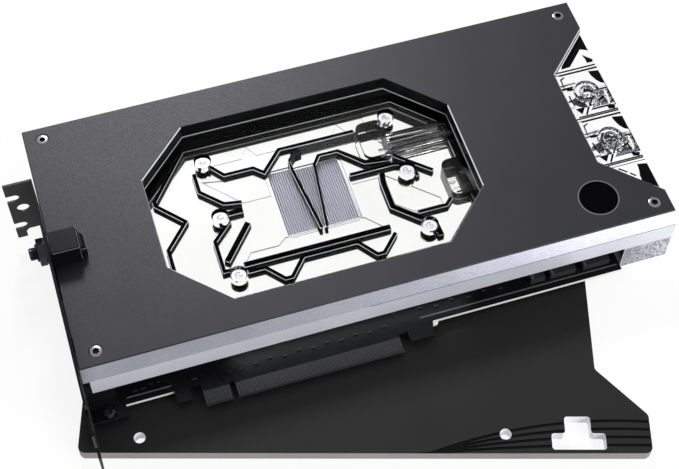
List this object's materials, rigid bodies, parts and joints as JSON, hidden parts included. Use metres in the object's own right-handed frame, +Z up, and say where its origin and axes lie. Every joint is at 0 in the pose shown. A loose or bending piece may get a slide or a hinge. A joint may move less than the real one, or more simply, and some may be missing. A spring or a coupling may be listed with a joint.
{
  "type": "gpu water block",
  "caption": "Full-cover liquid cooling block on its graphics card: black cover with an octagonal window over a clear manifold, silver rail, port terminal and detached backplate.",
  "frame": {"origin": "middle of the footprint, on the surface that the backplate lies on", "axes": "+X along the card from the slot bracket to the port terminal, +Y from the edge connector to the card's rear long edge, +Z up out of the cover"},
  "size_m": [0.268, 0.2124, 0.0462],
  "materials": {
    "black_anodised_aluminium": "matte black anodised, fine bead-blasted sheet",
    "silver_anodised_aluminium": "silver anodised, bead blasted",
    "clear_acrylic": "clear cast acrylic, milled and polished",
    "nickel_plated_copper": "bright nickel plating over milled copper",
    "black_rubber": "moulded EPDM cord",
    "grey_thermal_pad": "soft silicone thermal pad",
    "black_steel": "black oxide steel",
    "board_laminate": "black solder mask over glass laminate",
    "black_resin": "moulded epoxy resin",
    "green_laminate": "green package laminate",
    "silicon": "polished silicon",
    "grey_ferrite": "pressed ferrite powder",
    "capacitor_grey": "grey polymer case",
    "black_sheet_steel": "black powder-coated folded steel sheet",
    "socket_shell": "drawn steel shell, dull",
    "switch_plastic": "black moulded nylon",
    "badge_metal": "bright turned ring",
    "badge_face": "black disc, left bare"
  },
  "bodies": {
    "card": {"acrylic_top": "clear_acrylic", "backplate": "black_anodised_aluminium", "badge_disc": "badge_face", "badge_ring": "badge_metal", "block_screws": "black_steel", "channel_gaskets": "black_rubber", "circuit_board": "board_laminate", "cold_plate": "nickel_plated_copper", "cover_plate": "black_anodised_aluminium", "display_sockets": "socket_shell", "edge_capacitors": "capacitor_grey", "front_rail": "silver_anodised_aluminium", "gpu_die": "silicon", "gpu_substrate": "green_laminate", "hdmi_socket": "socket_shell", "io_bracket": "black_sheet_steel", "memory_chips": "black_resin", "memory_pads": "grey_thermal_pad", "outer_gasket": "black_rubber", "power_chokes": "grey_ferrite", "power_pads": "grey_thermal_pad", "power_stages": "black_resin", "rear_rail": "silver_anodised_aluminium", "switch_boot": "black_rubber", "switch_housing": "switch_plastic", "switch_nut": "black_steel", "switch_washer": "black_steel", "terminal_block": "clear_acrylic", "terminal_rings": "black_rubber"},
    "button": {"push_button": "switch_plastic"}
  },
  "joints": [
    {"name": "button_press", "type": "slide", "parent": "card", "child": "button", "axis": [1, 0, 0], "range_m": [0, 0.0015], "stiffness_N_per_m": 800}
  ]
}
